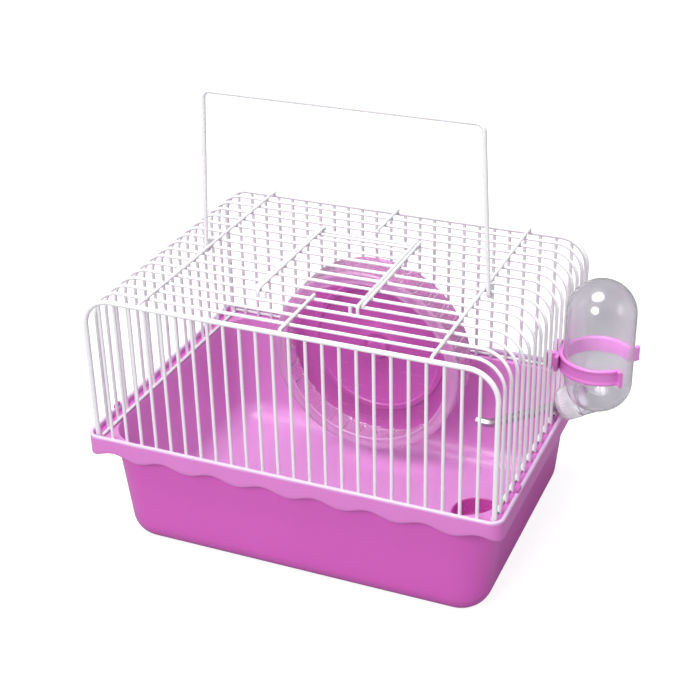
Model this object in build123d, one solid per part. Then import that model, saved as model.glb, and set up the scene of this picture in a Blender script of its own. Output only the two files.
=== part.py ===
from build123d import *
import math
import os

# Hamster cage: a plastic tray, a lift-off wire top with a roof door and a carrying
# handle, an exercise wheel hung on the rear wires, a water bottle in a clip-on ring
# and a food bowl. Millimetres, X to the right, Y to the rear, Z up. The origin is on
# the floor, under the middle of the wire top.

# --- wire top -------------------------------------------------------------------
WIRE_D = 2.0                # bars and arches
FRAME_WIRE_D = 3.0          # heavy arches at the front and the rear
BAR_PITCH = 10.0            # spacing of the front and rear bars
FRONT_GAP_COUNT = 25        # gaps across the front
ARCH_PITCH = 11.2           # spacing of the arches along the cage
ARCH_GAP_COUNT = 16         # gaps from the front arch to the rear arch
WALL_RISE = 95.1            # top of the arches above the tray's ledge
SHOULDER_R = 17.5           # bend between a leg and the roof, at the wire's middle
RAIL_INSET = 37.2           # roof rail, in from the legs
SEAT_GAP = 0.3              # between the wire top's feet and the tray's ledge

# --- roof door --------------------------------------------------------------------
DOOR_FIRST_INDEX = 4        # the arch that the door's front hooks rest on
DOOR_LAST_INDEX = 12        # the arch that the door turns on
DOOR_HALF_WIDTH = 31.0      # to the middle of a side wire
DOOR_SHIFT = -2.0           # middle of the door, from the middle of the cage
DOOR_PLAY = 0.3             # between the door's wires and the wires round them
HINGE_CURL = 250.0          # degrees of wrap round the hinge arch
HOOK_DROP = 6.5             # front hook, down from the side wire
HOOK_REACH = 4.0            # front hook, out in front of its arch
LATCH_WIDTH = 4.5           # the pull loop between the front hook and the side wire
DOOR_TAIL = 5.0             # rear cross wire, in front of the hinge arch
WIRE_TAIL = 1.5             # centre wires and opening rails, past the arch beside them

# --- carrying handle ------------------------------------------------------------
HANDLE_WIRE_D = 2.6
HANDLE_HEIGHT = 100.5       # top bar above the arch wire that it turns on
HANDLE_TOP_HALF = 85.5
HANDLE_CORNER_R = 4.5
HANDLE_PLAY = 0.3           # between a foot's hook and the arch wire in it
HANDLE_RAIL_GAP = 0.8       # between a foot and the roof rail beside it
HANDLE_TIP_RISE = 4.0       # hook tip above the arch wire's middle

# --- tray -----------------------------------------------------------------------
TRAY_HEIGHT = 81.0          # to the top of the border
BORDER_RISE = 4.4           # border above the ledge that carries the wire top
BORDER_OUT_X = 5.6          # border's outside, out from the middle of the legs
BORDER_OUT_Y = 6.2          # border's outside, out from the middle of the bars
BORDER_CORNER_R = 8.0
BORDER_EDGE_R = 0.8
TRAY_WALL = 2.2
TUB_IN_X = 6.6              # tub's outside, in from the border's outside
TUB_IN_Y = 5.2
TUB_CORNER_R = 25.5
TUB_TAPER = 5.6             # degrees
TUB_EDGE_R = 17.0           # round edge under the walls
SKIRT_DEPTH = 12.4          # middle of the wavy lower edge, below the border's top
SIDE_SKIRT_DEPTH = 14.0     # plain lower edge at the left and right
WAVE_PITCH = 33.0
WAVE_RISE = 2.2             # half the height of the waves
WAVE_SHIFT = 3.0            # a wave's lowest point, right of the middle
LUG_LENGTH = 6.0            # small tabs on the border, beside the legs
LUG_WIDTH = 1.6
LUG_HEIGHT = 2.2
LUG_PLACES = (-60.0, 60.0)

# --- exercise wheel -------------------------------------------------------------
WHEEL_R = 63.0
WHEEL_DEPTH = 26.0
WHEEL_RISE = 13.9           # axle above the tray's ledge
WHEEL_GAP_REAR = 34.6       # back of the wheel to the rear wires
WHEEL_WALL = 1.8
LIP_HEIGHT = 8.0            # front lip, in from the drum's outside
TREAD_COUNT = 36
TREAD_LENGTH = 19.5
TREAD_WIDTH = 2.6
TREAD_RISE = 1.0
BACK_DISC_THICK = 2.0
BACK_STEP_R = 42.0          # raised ring on the back disc
BACK_STEP_WIDTH = 4.0
BACK_STEP_RISE = 1.2
HUB_R = 8.0
HUB_LENGTH = 9.0
AXLE_D = 5.0
AXLE_PLAY = 0.1
AXLE_HEAD_R = 5.5
AXLE_HEAD = 2.5
END_PLAY = 0.3
BRACKET_R = 6.5
BRACKET_PLATE_X = 26.0
BRACKET_PLATE_Z = 16.0
BRACKET_PLATE = 2.4
WASHER_R = 8.0
WASHER = 1.2
NUT_R = 5.0
NUT_LENGTH = 5.0
NUT_WING = 11.0
NUT_WING_THICK = 2.0
AXLE_TAIL = 2.0             # axle past the nut

# --- water bottle -----------------------------------------------------------------
BOTTLE_R = 20.5
BOTTLE_WALL = 1.2
BOTTLE_OUT = 25.0           # bottle's axis, out from the middle of the legs
BOTTLE_GAP_INDEX = 10       # bottle's axis is in the middle of the gap behind this arch
BOTTLE_DOME = 77.4          # middle of the domed top, above the ledge
BOTTLE_BOTTOM = 15.9        # lowest point of the bottle, above the ledge
BOTTLE_BASE_R = 17.0
SPOUT_TILT = 28.0           # degrees below level
SPOUT_LEG_GAP = 2.9         # middle of the cap's front face to the side legs, along X
SPOUT_RISE = 11.4           # middle of the cap's front face, above the ledge
NECK_R = 9.8
NECK_WALL = 1.2
NECK_LENGTH = 18.0          # from the cap's rear to the middle of the neck's round end
STUB_R = 8.3                # neck inside the cap
FACET_GAP = 2.5             # between the cap's rear and the bottle's slanting face
CAP_R = 10.3
CAP_LENGTH = 12.5
CAP_ROUND = 4.5             # round edge of the cap's front
CAP_FACE = 3.0
CAP_PLAY = 0.1
SEAL_THICK = 1.6
SPOUT_D = 6.0
SPOUT_WALL = 0.5
SPOUT_REACH = 46.0          # straight run past the cap's front face
SPOUT_BEND_R = 12.0
SPOUT_BEND = 33.0           # degrees, upwards
SPOUT_TIP = 5.0             # straight end after the bend
SPOUT_LIP = 0.5
BALL_D = 4.8
BALL_MOUTH_D = 4.0

# --- bottle holder ----------------------------------------------------------------
HOLDER_RISE = 46.4          # middle of the ring above the ledge
HOLDER_BAND = 10.0
HOLDER_THICK = 2.5
HOLDER_PLAY = 0.3
HOLDER_FRONT_END = 46.0     # degrees from +X to the front tip
HOLDER_REAR_END = 40.0      # degrees from +X to the rear tip
HOLDER_FLARE = 4.5
HOLDER_BLOCK_GAP = 0.6      # between the block and the legs
FINGER_THICK = 2.6
FINGER_REACH = 4.4          # past the middle of the leg, into the cage
FINGER_BARB = 0.9
CLIP_PLAY = 0.05

# --- food bowl --------------------------------------------------------------------
BOWL_R = 17.0
BOWL_FOOT_R = 14.5
BOWL_HEIGHT = 12.0
BOWL_WALL = 1.8
BOWL_IN = 39.0              # bowl's axis, in from the middle of the legs
BOWL_Y = 3.5
BOWL_GAP = 0.3

# --- places that follow from the sizes above --------------------------------------
HALF_WIDTH = BAR_PITCH * FRONT_GAP_COUNT / 2
HALF_DEPTH = ARCH_PITCH * ARCH_GAP_COUNT / 2
LEDGE_Z = TRAY_HEIGHT - BORDER_RISE
BORDER_HALF_X = HALF_WIDTH + BORDER_OUT_X
BORDER_HALF_Y = HALF_DEPTH + BORDER_OUT_Y
TUB_HALF_X = BORDER_HALF_X - TUB_IN_X
TUB_HALF_Y = BORDER_HALF_Y - TUB_IN_Y
FOOT_Z = LEDGE_Z + SEAT_GAP
ROOF_TOP = LEDGE_Z + WALL_RISE
ARCH_Z = ROOF_TOP - WIRE_D / 2
FRAME_ARCH_Z = ROOF_TOP - FRAME_WIRE_D / 2
RAIL_Z = ROOF_TOP + WIRE_D / 2
RAIL_X = HALF_WIDTH - RAIL_INSET
HINGE_R = WIRE_D + DOOR_PLAY
SIDE_WIRE_Z = ARCH_Z + HINGE_R
CROSS_WIRE_Z = SIDE_WIRE_Z - WIRE_D
OPENING_X = DOOR_HALF_WIDTH + WIRE_D + DOOR_PLAY
OPENING_EDGE_X = OPENING_X - WIRE_D / 2
WHEEL_BACK_Y = HALF_DEPTH - WHEEL_GAP_REAR
WHEEL_FRONT_Y = WHEEL_BACK_Y - WHEEL_DEPTH
AXLE_Z = LEDGE_Z + WHEEL_RISE
BOTTLE_X = HALF_WIDTH + BOTTLE_OUT
BOTTLE_Y = -HALF_DEPTH + ARCH_PITCH * (BOTTLE_GAP_INDEX + 0.5)
TILT = math.radians(SPOUT_TILT)
SPOUT_DIR = Vector(-math.cos(TILT), 0, -math.sin(TILT))
CAP_FRONT_X = HALF_WIDTH + WIRE_D / 2 + SPOUT_LEG_GAP
CAP_FRONT = Vector(CAP_FRONT_X, BOTTLE_Y, LEDGE_Z + SPOUT_RISE)
BOWL_X = HALF_WIDTH - BOWL_IN


def arch_y(index):
    """Place of an arch along the cage, counted from the front."""
    return -HALF_DEPTH + ARCH_PITCH * index


def rod(start, end, diameter):
    """A straight round wire."""
    run = Vector(*end) - Vector(*start)
    return Solid.make_cylinder(diameter / 2, run.length, Plane(origin=start, z_dir=run.normalized()))


def bent_wire(points, radii, diameter):
    """A round wire along straight runs joined by tangent bends."""
    path = FilletPolyline(*points, radius=radii)
    section = Plane(origin=path @ 0, z_dir=path % 0) * Circle(diameter / 2)
    return sweep(section, path=path)


def tube(path, outer, inner):
    """A round pipe along a path."""
    section = Plane(origin=path @ 0, z_dir=path % 0) * (Circle(outer / 2) - Circle(inner / 2))
    return sweep(section, path=path)


def disc(radius, thickness, y, bore=0.0):
    """A round disc or ring across the wheel's axle, from y towards the rear."""
    place = Plane(origin=(0, y, AXLE_Z), z_dir=(0, 1, 0))
    face = Circle(radius)
    if bore > 0:
        face = face - Circle(bore)
    return extrude(place * face, thickness)


def save(name, *solids):
    """Write one node. Several solids stay separate in it."""
    shape = solids[0] if len(solids) == 1 else Compound(children=list(solids))
    export_step(shape, f"parts/{name}.step")


# --- arches ------------------------------------------------------------------------
def full_arch(y, diameter, top_z):
    """One arch: a leg, the roof and the other leg."""
    points = [
        (-HALF_WIDTH, y, FOOT_Z),
        (-HALF_WIDTH, y, top_z),
        (HALF_WIDTH, y, top_z),
        (HALF_WIDTH, y, FOOT_Z),
    ]
    return bent_wire(points, [SHOULDER_R, SHOULDER_R], diameter)


def cut_arch(y, side):
    """Half an arch beside the roof opening, from its foot to the opening's rail."""
    points = [
        (side * HALF_WIDTH, y, FOOT_Z),
        (side * HALF_WIDTH, y, ARCH_Z),
        (DOOR_SHIFT + side * OPENING_EDGE_X, y, ARCH_Z),
    ]
    return bent_wire(points, [SHOULDER_R], WIRE_D)


def make_arches():
    front = full_arch(arch_y(0), FRAME_WIRE_D, FRAME_ARCH_Z)
    rear = full_arch(arch_y(ARCH_GAP_COUNT), FRAME_WIRE_D, FRAME_ARCH_Z)
    save("front_arch", front)
    save("rear_arch", rear)
    front_group = range(1, DOOR_FIRST_INDEX + 1)
    rear_group = range(DOOR_LAST_INDEX, ARCH_GAP_COUNT)
    door_group = range(DOOR_FIRST_INDEX + 1, DOOR_LAST_INDEX)
    save("front_roof_arches", *[full_arch(arch_y(i), WIRE_D, ARCH_Z) for i in front_group])
    save("rear_roof_arches", *[full_arch(arch_y(i), WIRE_D, ARCH_Z) for i in rear_group])
    save("left_cut_arches", *[cut_arch(arch_y(i), -1) for i in door_group])
    save("right_cut_arches", *[cut_arch(arch_y(i), 1) for i in door_group])
    return front, rear


# --- walls -------------------------------------------------------------------------
def wall_bars(y, arch):
    """Upright bars under a heavy arch, each shaped to the arch's wire at its top."""
    bars = []
    for index in range(1, FRONT_GAP_COUNT):
        x = -HALF_WIDTH + BAR_PITCH * index
        bar = rod((x, y, FOOT_Z), (x, y, FRAME_ARCH_Z), WIRE_D) - arch
        bars.append(bar.solids().sort_by(Axis.Z)[0])
    return bars


def make_walls(front_arch, rear_arch):
    save("front_bars", *wall_bars(arch_y(0), front_arch))
    save("rear_bars", *wall_bars(arch_y(ARCH_GAP_COUNT), rear_arch))


def make_base_wires():
    """Four wires round the foot: outside the bars, and inside the side legs."""
    z = FOOT_Z + WIRE_D / 2
    side_x = HALF_WIDTH - WIRE_D
    side_end = HALF_DEPTH - FRAME_WIRE_D / 2
    cross_y = HALF_DEPTH + WIRE_D
    cross_end = HALF_WIDTH - FRAME_WIRE_D / 2
    save("front_base_wire", rod((-cross_end, -cross_y, z), (cross_end, -cross_y, z), WIRE_D))
    save("rear_base_wire", rod((-cross_end, cross_y, z), (cross_end, cross_y, z), WIRE_D))
    save("left_base_wire", rod((-side_x, -side_end, z), (-side_x, side_end, z), WIRE_D))
    save("right_base_wire", rod((side_x, -side_end, z), (side_x, side_end, z), WIRE_D))


# --- roof --------------------------------------------------------------------------
def make_roof_wires():
    end = HALF_DEPTH
    save("left_roof_rail", rod((-RAIL_X, -end, RAIL_Z), (-RAIL_X, end, RAIL_Z), WIRE_D))
    save("right_roof_rail", rod((RAIL_X, -end, RAIL_Z), (RAIL_X, end, RAIL_Z), WIRE_D))
    front_end = arch_y(DOOR_FIRST_INDEX) + WIRE_TAIL
    rear_end = arch_y(DOOR_LAST_INDEX + 1) - WIRE_TAIL
    save("front_centre_wire", rod((0, -end, RAIL_Z), (0, front_end, RAIL_Z), WIRE_D))
    save("rear_centre_wire", rod((0, rear_end, RAIL_Z), (0, end, RAIL_Z), WIRE_D))
    first = arch_y(DOOR_FIRST_INDEX) - WIRE_TAIL
    last = arch_y(DOOR_LAST_INDEX) + WIRE_TAIL
    for name, side in (("left_opening_rail", -1), ("right_opening_rail", 1)):
        x = DOOR_SHIFT + side * OPENING_X
        save(name, rod((x, first, RAIL_Z), (x, last, RAIL_Z), WIRE_D))


def hinge_curl(x):
    """The rear end of a door side wire, curled down round the hinge arch."""
    centre = Plane(origin=(x, arch_y(DOOR_LAST_INDEX), ARCH_Z), x_dir=(0, 0, 1), z_dir=(-1, 0, 0))
    return centre * CenterArc((0, 0), HINGE_R, 0, HINGE_CURL)


def side_wire(side):
    """A door side wire with its front hook and its rear curl, as one bent wire."""
    x = DOOR_SHIFT + side * DOOR_HALF_WIDTH
    hook_y = arch_y(DOOR_FIRST_INDEX) - HOOK_REACH
    hinge_y = arch_y(DOOR_LAST_INDEX)
    inner_x = x - side * LATCH_WIDTH
    low_z = SIDE_WIRE_Z - HOOK_DROP
    points = [
        (x, hinge_y, SIDE_WIRE_Z),
        (x, hook_y, SIDE_WIRE_Z),
        (x, hook_y, low_z),
        (inner_x, hook_y, low_z),
        (inner_x, hook_y, SIDE_WIRE_Z),
    ]
    bend = WIRE_D
    front = bent_wire(points, [bend, bend, bend], WIRE_D)
    curl = hinge_curl(x)
    section = Plane(origin=curl @ 0, z_dir=curl % 0) * Circle(WIRE_D / 2)
    return front + sweep(section, path=curl)


def make_door():
    save("door_side_wires", side_wire(-1), side_wire(1))
    wires = []
    left = DOOR_SHIFT - OPENING_EDGE_X + DOOR_PLAY
    right = DOOR_SHIFT + OPENING_EDGE_X - DOOR_PLAY
    places = [arch_y(i) for i in range(DOOR_FIRST_INDEX + 1, DOOR_LAST_INDEX)]
    places.append(arch_y(DOOR_LAST_INDEX) - DOOR_TAIL)
    for y in places:
        wires.append(rod((left, y, CROSS_WIRE_Z), (right, y, CROSS_WIRE_Z), WIRE_D))
    save("door_cross_wires", *wires)


# --- carrying handle -----------------------------------------------------------------
def make_handle():
    """A bail whose feet hook round the middle arch, just outside the roof rails."""
    foot_x = RAIL_X + WIRE_D / 2 + HANDLE_RAIL_GAP + HANDLE_WIRE_D / 2
    hook_r = WIRE_D / 2 + HANDLE_PLAY + HANDLE_WIRE_D / 2
    y = arch_y(ARCH_GAP_COUNT / 2)
    bottom = ARCH_Z - hook_r
    top = ARCH_Z + HANDLE_HEIGHT
    right = [
        (foot_x, y + hook_r, ARCH_Z + HANDLE_TIP_RISE),
        (foot_x, y + hook_r, bottom),
        (foot_x, y - hook_r, bottom),
        (HANDLE_TOP_HALF, y - hook_r, top),
    ]
    left = [(-px, py, pz) for px, py, pz in reversed(right)]
    hook_bend = hook_r * 0.98
    radii = [hook_bend, hook_bend, HANDLE_CORNER_R, HANDLE_CORNER_R, hook_bend, hook_bend]
    save("carry_handle", bent_wire(right + left, radii, HANDLE_WIRE_D))


# --- tray ----------------------------------------------------------------------------
def tub(inset):
    """The tub's outside, or its inside when inset by the wall."""
    top = RectangleRounded(
        2 * (TUB_HALF_X - inset), 2 * (TUB_HALF_Y - inset), TUB_CORNER_R - inset
    )
    depth = LEDGE_Z - inset
    body = extrude(Plane.XY.offset(LEDGE_Z) * top, -depth, taper=TUB_TAPER)
    bottom = body.faces().sort_by(Axis.Z)[0]
    return fillet(bottom.edges(), TUB_EDGE_R - inset)


def wave_cut():
    """What lies below the wavy lower edge, seen from the front."""
    middle = TRAY_HEIGHT - SKIRT_DEPTH
    half = WAVE_PITCH / 2
    count = math.ceil(BORDER_HALF_X / half) + 2
    start = WAVE_SHIFT - half / 2 - half * count
    edges = []
    for index in range(2 * count + 1):
        left = start + half * index
        rise = WAVE_RISE if (index - count) % 2 else -WAVE_RISE
        edges.append(ThreePointArc(
            (left, 0, middle), (left + half / 2, 0, middle + rise), (left + half, 0, middle)
        ))
    first = edges[0] @ 0
    last = edges[-1] @ 1
    low = middle - 4 * WAVE_RISE - SIDE_SKIRT_DEPTH
    edges.append(Polyline(last, (last.X, 0, low), (first.X, 0, low), first))
    return make_face(edges)


def border_block(inset, top, depth):
    """The border's outline as a block that hangs from a height."""
    outline = RectangleRounded(
        2 * (BORDER_HALF_X - inset), 2 * (BORDER_HALF_Y - inset), BORDER_CORNER_R - inset
    )
    return extrude(Plane.XY.offset(top) * outline, -depth)


def make_tray():
    """Tub, ledge, raised border and hanging skirt, moulded as one piece."""
    deep = SKIRT_DEPTH + WAVE_RISE + TRAY_WALL
    pocket = border_block(TRAY_WALL, TRAY_HEIGHT, BORDER_RISE)
    border = border_block(0, TRAY_HEIGHT, deep) - pocket
    border = fillet(border.edges().group_by(Axis.Z)[-1], BORDER_EDGE_R)
    hollow = border_block(TRAY_WALL, LEDGE_Z - TRAY_WALL, deep)
    waves = extrude(wave_cut(), BORDER_HALF_Y + BORDER_CORNER_R, both=True)
    side_length = 2 * (BORDER_HALF_Y - BORDER_CORNER_R)
    span = Pos(0, 0, TRAY_HEIGHT / 2) * Box(3 * BORDER_HALF_X, side_length, TRAY_HEIGHT)
    side_floor = TRAY_HEIGHT - SIDE_SKIRT_DEPTH
    sides = Pos(0, 0, side_floor / 2) * Box(3 * BORDER_HALF_X, side_length, side_floor)
    skirt = border - hollow - (waves - span) - sides
    tray = skirt + tub(0) - tub(TRAY_WALL)
    lug_x = BORDER_HALF_X - TRAY_WALL / 2
    lug_low = TRAY_HEIGHT - BORDER_EDGE_R
    lug_rise = LUG_HEIGHT + BORDER_EDGE_R
    for side in (-1, 1):
        for y in LUG_PLACES:
            lug = Box(LUG_WIDTH, LUG_LENGTH, lug_rise)
            lug = fillet(lug.edges().group_by(Axis.Z)[-1], LUG_WIDTH / 3)
            tray = tray + Pos(side * lug_x, y, lug_low + lug_rise / 2) * lug
    save("tray", tray)


# --- exercise wheel ------------------------------------------------------------------
def make_wheel():
    drum_length = WHEEL_DEPTH - BACK_DISC_THICK
    inner_r = WHEEL_R - WHEEL_WALL
    drum = disc(WHEEL_R, drum_length, WHEEL_FRONT_Y, inner_r)
    drum = drum + disc(WHEEL_R, WHEEL_WALL, WHEEL_FRONT_Y, WHEEL_R - LIP_HEIGHT)
    tread_y = WHEEL_BACK_Y - BACK_DISC_THICK - TREAD_LENGTH / 2
    for index in range(TREAD_COUNT):
        angle = 360 / TREAD_COUNT * index
        bar = Box(TREAD_WIDTH, TREAD_LENGTH, 2 * TREAD_RISE)
        place = Pos(0, tread_y, AXLE_Z) * Rot(0, angle, 0) * Pos(0, 0, inner_r)
        drum = drum + place * bar
    save("wheel_drum", drum)

    back_y = WHEEL_BACK_Y - BACK_DISC_THICK
    bore = AXLE_D / 2 + AXLE_PLAY
    back = disc(WHEEL_R, BACK_DISC_THICK, back_y, bore)
    ring_r = BACK_STEP_R + BACK_STEP_WIDTH
    back = back + disc(ring_r, BACK_STEP_RISE, back_y - BACK_STEP_RISE, BACK_STEP_R)
    back = back + disc(HUB_R, HUB_LENGTH, WHEEL_BACK_Y, bore)
    save("wheel_back", back)

    head_y = back_y - END_PLAY - AXLE_HEAD
    plate_y = HALF_DEPTH - WIRE_D / 2 - BRACKET_PLATE
    washer_y = HALF_DEPTH + WIRE_D / 2
    nut_y = washer_y + WASHER
    head = disc(AXLE_HEAD_R, AXLE_HEAD, head_y)
    head = fillet(head.edges().group_by(Axis.Y)[0], AXLE_HEAD / 2)
    shaft = disc(AXLE_D / 2, nut_y + NUT_LENGTH + AXLE_TAIL - head_y, head_y)
    save("wheel_axle", head + shaft)

    boss_y = WHEEL_BACK_Y + HUB_LENGTH + END_PLAY
    plate = Box(BRACKET_PLATE_X, BRACKET_PLATE, BRACKET_PLATE_Z)
    plate = fillet(plate.edges().filter_by(Axis.Y), BRACKET_PLATE)
    plate = Pos(0, plate_y + BRACKET_PLATE / 2, AXLE_Z) * plate
    boss = disc(BRACKET_R, plate_y - boss_y, boss_y)
    bore_cut = disc(AXLE_D / 2, HALF_DEPTH - boss_y, boss_y)
    save("wheel_bracket", plate + boss - bore_cut)
    save("axle_washer", disc(WASHER_R, WASHER, washer_y, AXLE_D / 2))

    barrel = disc(NUT_R, NUT_LENGTH, nut_y)
    wing = Box(2 * NUT_WING, NUT_LENGTH, NUT_WING_THICK)
    wing = fillet(wing.edges().filter_by(Axis.Z), NUT_LENGTH / 3)
    wing = Pos(0, nut_y + NUT_LENGTH / 2, AXLE_Z) * Rot(0, 25, 0) * wing
    save("wing_nut", barrel + wing - disc(AXLE_D / 2, NUT_LENGTH, nut_y))


# --- water bottle ----------------------------------------------------------------------
def along_spout(distance):
    """A point on the spout's axis, measured outwards from the cap's front face."""
    return CAP_FRONT + SPOUT_DIR * distance


def spout_plane(distance):
    """The plane across the spout's axis, facing outwards."""
    return Plane(origin=along_spout(distance), x_dir=(0, 1, 0), z_dir=SPOUT_DIR)


def capsule(inset):
    """The bottle's upright body: domed top, rounded base and a slanting face for the neck."""
    radius = BOTTLE_R - inset
    base_r = BOTTLE_BASE_R - inset
    low = LEDGE_Z + BOTTLE_BOTTOM + inset
    dome = LEDGE_Z + BOTTLE_DOME
    flat = radius - base_r
    base_z = low + base_r
    half = math.sqrt(0.5)
    profile = [
        Line((0, 0, low), (flat, 0, low)),
        ThreePointArc((flat, 0, low), (flat + base_r * half, 0, base_z - base_r * half),
                      (radius, 0, base_z)),
        Line((radius, 0, base_z), (radius, 0, dome)),
        ThreePointArc((radius, 0, dome), (radius * half, 0, dome + radius * half),
                      (0, 0, dome + radius)),
        Line((0, 0, dome + radius), (0, 0, low)),
    ]
    body = Pos(BOTTLE_X, BOTTLE_Y, 0) * revolve(make_face(profile), Axis.Z)
    facet = spout_plane(-CAP_LENGTH - FACET_GAP - inset)
    return body - extrude(facet * Rectangle(4 * BOTTLE_R, 4 * BOTTLE_R), 4 * BOTTLE_R)


def neck(inset, end):
    """A straight neck with a round end inside the bottle, and its stub inside the cap."""
    shoulder = -CAP_LENGTH - CAP_PLAY - inset
    back = -CAP_LENGTH - NECK_LENGTH
    barrel = extrude(spout_plane(back) * Circle(NECK_R - inset), shoulder - back)
    ball = Pos(along_spout(back)) * Sphere(NECK_R - inset)
    stub = extrude(spout_plane(shoulder) * Circle(STUB_R - inset), end - shoulder)
    return barrel + ball + stub


def make_bottle():
    seat = -CAP_FACE - SEAL_THICK
    outside = capsule(0) + neck(0, seat)
    inside = capsule(BOTTLE_WALL) + neck(NECK_WALL, 0)
    save("bottle_body", outside - inside)

    cap = extrude(spout_plane(-CAP_LENGTH) * Circle(CAP_R), CAP_LENGTH)
    cap = fillet(cap.edges().sort_by(Axis.X)[0], CAP_ROUND)
    room = extrude(spout_plane(-CAP_LENGTH) * Circle(STUB_R + CAP_PLAY), CAP_LENGTH - CAP_FACE)
    hole = extrude(spout_plane(-CAP_LENGTH) * Circle(SPOUT_D / 2), 2 * CAP_LENGTH)
    save("bottle_cap", cap - room - hole)
    seal = extrude(spout_plane(seat) * (Circle(STUB_R) - Circle(SPOUT_D / 2)), SEAL_THICK)
    save("cap_seal", seal)

    bend_angle = math.radians(SPOUT_BEND)
    tangent = SPOUT_BEND_R * math.tan(bend_angle / 2)
    corner = along_spout(SPOUT_REACH + tangent)
    tip_angle = TILT - bend_angle
    tip_dir = Vector(-math.cos(tip_angle), 0, -math.sin(tip_angle))
    tip_end = corner + tip_dir * (tangent + SPOUT_TIP)
    path = FilletPolyline(along_spout(seat), corner, tip_end, radius=SPOUT_BEND_R)
    pipe = tube(path, SPOUT_D, SPOUT_D - 2 * SPOUT_WALL)
    lip = extrude(
        Plane(origin=tip_end, z_dir=tip_dir) * (Circle(SPOUT_D / 2) - Circle(BALL_MOUTH_D / 2)),
        SPOUT_LIP,
    )
    save("spout_tube", pipe + lip)
    seat_back = math.sqrt((BALL_D / 2) ** 2 - (BALL_MOUTH_D / 2) ** 2)
    centre = tip_end - tip_dir * (seat_back + CAP_PLAY)
    save("spout_ball", Pos(centre) * Sphere(BALL_D / 2))


# --- bottle holder -----------------------------------------------------------------------
def make_holder():
    """A ring open to the right, with a block and two fingers that grip a pair of legs."""
    middle = Pos(BOTTLE_X, BOTTLE_Y, LEDGE_Z + HOLDER_RISE)
    inner = BOTTLE_R + HOLDER_PLAY
    outer = inner + HOLDER_THICK
    ring = Cylinder(outer, HOLDER_BAND) - Cylinder(inner, HOLDER_BAND)
    front = math.radians(-HOLDER_FRONT_END)
    rear = math.radians(HOLDER_REAR_END)
    far = 2 * outer
    gap = make_face(Polyline(
        (0, 0), (far * math.cos(front), far * math.sin(front)),
        (far * math.cos(rear), far * math.sin(rear)), (0, 0)
    ))
    ring = ring - extrude(gap, HOLDER_BAND, both=True)
    mid_r = (inner + outer) / 2
    for angle, turn in ((front, -1), (rear, 1)):
        end = Vector(mid_r * math.cos(angle), mid_r * math.sin(angle))
        out = Vector(math.cos(angle + turn * 0.15), math.sin(angle + turn * 0.15))
        tip = end + out * HOLDER_FLARE
        flare = Plane.XY.offset(-HOLDER_BAND / 2) * SlotCenterPoint(
            center=(end + tip) * 0.5, point=tip, height=HOLDER_THICK
        )
        ring = ring + extrude(flare, HOLDER_BAND) - Cylinder(inner, HOLDER_BAND)
    ring = middle * ring

    leg_gap = ARCH_PITCH / 2
    finger_in = leg_gap + WIRE_D / 2 + CLIP_PLAY
    finger_out = finger_in + FINGER_THICK
    block_left = HALF_WIDTH + WIRE_D / 2 + HOLDER_BLOCK_GAP
    block_right = BOTTLE_X - inner + HOLDER_THICK
    z = LEDGE_Z + HOLDER_RISE
    block = Pos((block_left + block_right) / 2, BOTTLE_Y, z) * Box(
        block_right - block_left, 2 * finger_out, HOLDER_BAND
    )
    holder = ring + (block - middle * Cylinder(inner, HOLDER_BAND))
    finger_tip = HALF_WIDTH - FINGER_REACH
    barb_length = FINGER_REACH - WIRE_D / 2 - CLIP_PLAY
    for side in (-1, 1):
        finger = Pos((finger_tip + block_left) / 2, BOTTLE_Y + side * (finger_in + finger_out) / 2, z)
        holder = holder + finger * Box(block_left - finger_tip, FINGER_THICK, HOLDER_BAND)
        barb = Pos(finger_tip + barb_length / 2, BOTTLE_Y + side * (finger_in - FINGER_BARB / 2), z)
        holder = holder + barb * Box(barb_length, FINGER_BARB, HOLDER_BAND)
    save("bottle_holder", holder)


# --- food bowl -----------------------------------------------------------------------------
def make_bowl():
    low = TRAY_WALL + BOWL_GAP
    inner_foot = BOWL_FOOT_R - BOWL_WALL
    profile = Polyline(
        (0, 0, low),
        (BOWL_FOOT_R, 0, low),
        (BOWL_R, 0, low + BOWL_HEIGHT),
        (BOWL_R - BOWL_WALL, 0, low + BOWL_HEIGHT),
        (inner_foot, 0, low + BOWL_WALL),
        (0, 0, low + BOWL_WALL),
        (0, 0, low),
    )
    bowl = revolve(make_face(profile), Axis.Z)
    rim = bowl.edges().group_by(Axis.Z)[-1]
    bowl = fillet(rim, BOWL_WALL * 0.45)
    save("food_bowl", Pos(BOWL_X, BOWL_Y, 0) * bowl)


os.makedirs("parts", exist_ok=True)
heavy_front, heavy_rear = make_arches()
make_walls(heavy_front, heavy_rear)
make_base_wires()
make_roof_wires()
make_door()
make_handle()
make_tray()
make_wheel()
make_bottle()
make_holder()
make_bowl()
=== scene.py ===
import math

import bpy
import numpy as np
from bpy.props import FloatProperty, FloatVectorProperty, PointerProperty
from mathutils import Matrix, Vector


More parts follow.
